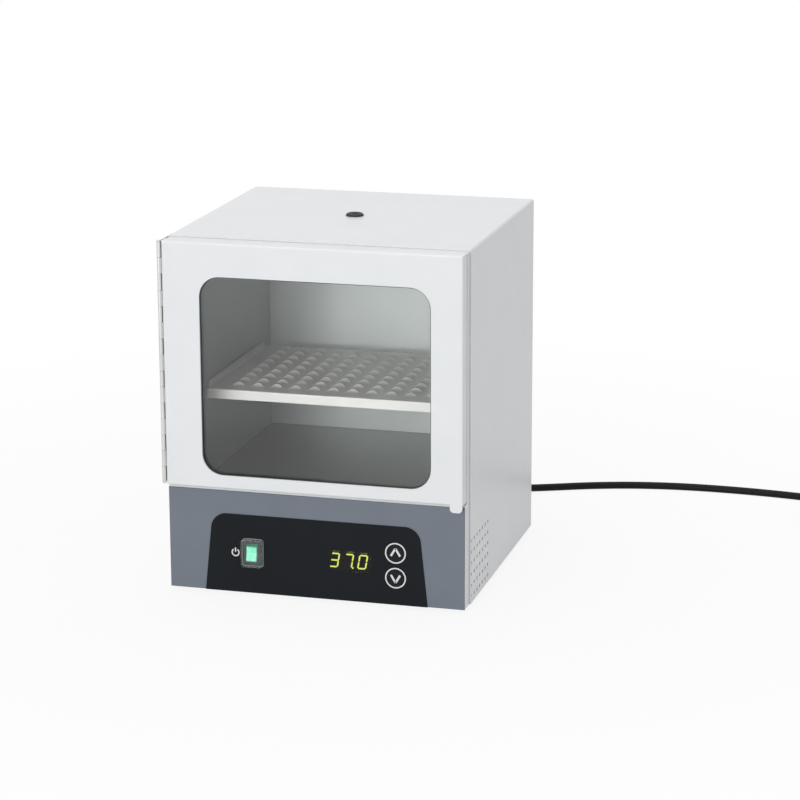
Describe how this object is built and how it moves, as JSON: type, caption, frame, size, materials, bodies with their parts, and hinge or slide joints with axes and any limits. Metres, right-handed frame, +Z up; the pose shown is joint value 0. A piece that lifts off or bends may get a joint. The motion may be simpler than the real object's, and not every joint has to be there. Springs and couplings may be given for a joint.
{
  "type": "mini incubator",
  "caption": "Bench-top mini incubator: insulated box with a windowed hinged door, louvred shelf, key panel with display, and mains cord.",
  "frame": {"origin": "on the table, under the middle of the cabinet's width and depth (cord left out)", "axes": "+X to the cabinet's right seen from the front, +Y from the door to the rear, +Z up"},
  "size_m": [0.6203, 0.421, 0.3106],
  "materials": {
    "painted_steel": "warm white powder coat, satin",
    "slate_paint": "slate grey paint, satin",
    "zinc_steel": "zinc-plated sheet",
    "stainless": "stainless sheet, dull",
    "bright_steel": "nickel-plated steel, bright",
    "white_plastic": "white moulded plastic",
    "black_rubber": "black rubber, matt",
    "grey_rubber": "dark grey soft seal",
    "clear_sheet": "clear window sheet",
    "clear_hood": "soft clear cover",
    "smoked_lens": "smoked lens",
    "black_overlay": "black printed sheet, low gloss",
    "black_plastic": "black moulded plastic",
    "green_plastic": "green translucent plastic",
    "cord_jacket": "black flexible cord jacket, low gloss",
    "ribbon_jacket": "light grey flat cable",
    "board": "green circuit board",
    "insulation": "fibre insulation slab",
    "heater": "orange-brown silicone mat",
    "winding": "varnished core and winding",
    "brass": "plain brass",
    "magnet": "black bonded magnet"
  },
  "bodies": {
    "cabinet": {"base_pan": "zinc_steel", "chamber_liner": "stainless", "control_board": "board", "control_panel": "slate_paint", "cord_bushing": "cord_jacket", "cord_coil": "cord_jacket", "cord_tail": "cord_jacket", "cord_tie": "black_rubber", "display_lens": "smoked_lens", "display_module": "black_plastic", "foot_front_left": "black_rubber", "foot_front_right": "black_rubber", "foot_rear_left": "black_rubber", "foot_rear_right": "black_rubber", "front_frame": "painted_steel", "front_standoffs": "brass", "fuse": "clear_hood", "heater_mat": "heater", "hinge_body_leaf": "bright_steel", "hinge_pin": "bright_steel", "insulation_floor": "insulation", "insulation_left": "insulation", "insulation_rear": "insulation", "insulation_right": "insulation", "insulation_top": "insulation", "key_switches": "black_plastic", "leaf_screws": "bright_steel", "magnet_catch": "magnet", "outer_cover": "painted_steel", "panel_overlay": "black_overlay", "plug_blades": "brass", "plug_body": "cord_jacket", "port_grommet": "black_rubber", "port_tube": "white_plastic", "power_board": "board", "power_cord": "cord_jacket", "power_standoffs": "brass", "rear_panel": "painted_steel", "rear_screws": "bright_steel", "relay": "black_plastic", "ribbon_cable": "ribbon_jacket", "shelf_rail_left": "stainless", "shelf_rail_right": "stainless", "switch_body": "black_plastic", "switch_hood": "clear_hood", "temperature_sensor": "stainless", "terminal_block": "white_plastic", "thermal_cutout": "black_plastic", "transformer": "winding"},
    "door": {"door_shell": "painted_steel", "window_trim": "black_rubber", "window_pane": "clear_sheet", "door_frame": "white_plastic", "door_strike": "zinc_steel", "door_seal": "grey_rubber", "hinge_door_leaf": "bright_steel"},
    "power_rocker": {"rocker": "green_plastic"},
    "up_key": {"key_up": "black_overlay"},
    "down_key": {"key_down": "black_overlay"},
    "shelf_sheet": {"shelf": "stainless"}
  },
  "joints": [
    {"name": "door_hinge", "type": "hinge", "parent": "cabinet", "child": "door", "pos_m": [-0.13057, -0.12657, 0.20285], "axis": [0, 0, -1], "range_deg": [0, 175]},
    {"name": "rocker_pivot", "type": "hinge", "parent": "cabinet", "child": "power_rocker", "pos_m": [-0.05418, -0.12068, 0.04], "axis": [1, 0, 0], "range_deg": [0, 14]},
    {"name": "up_key_press", "type": "slide", "parent": "cabinet", "child": "up_key", "axis": [0, 1, 0], "range_m": [0, 0.0005], "stiffness_N_per_m": 800},
    {"name": "down_key_press", "type": "slide", "parent": "cabinet", "child": "down_key", "axis": [0, 1, 0], "range_m": [0, 0.0005], "stiffness_N_per_m": 800},
    {"name": "shelf_slide", "type": "slide", "parent": "cabinet", "child": "shelf_sheet", "axis": [0, -1, 0], "range_m": [0, 0.03]}
  ]
}
